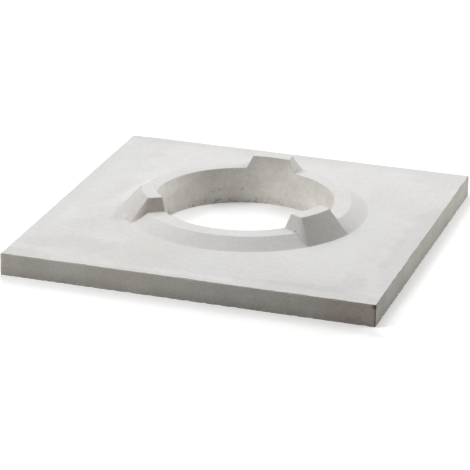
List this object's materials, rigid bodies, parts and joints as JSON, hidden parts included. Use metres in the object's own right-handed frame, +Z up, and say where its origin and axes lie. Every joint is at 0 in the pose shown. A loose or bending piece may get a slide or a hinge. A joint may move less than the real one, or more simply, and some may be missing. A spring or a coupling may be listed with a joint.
{
  "type": "chimney cowl base plate",
  "caption": "Square concrete base plate of a chimney cowl, with a round flue opening, a low sloping collar and lugs that carry the next ring.",
  "frame": {"origin": "centre of the flue opening on the underside", "axes": "+Z up through the flue opening, +X and +Y square to the slab's sides, with one lug on the +Y side"},
  "size_m": [0.5, 0.5, 0.069],
  "materials": {
    "concrete": "fine matt cast concrete"
  },
  "bodies": {
    "root": {"cowl_base_plate": "concrete"}
  },
  "joints": []
}
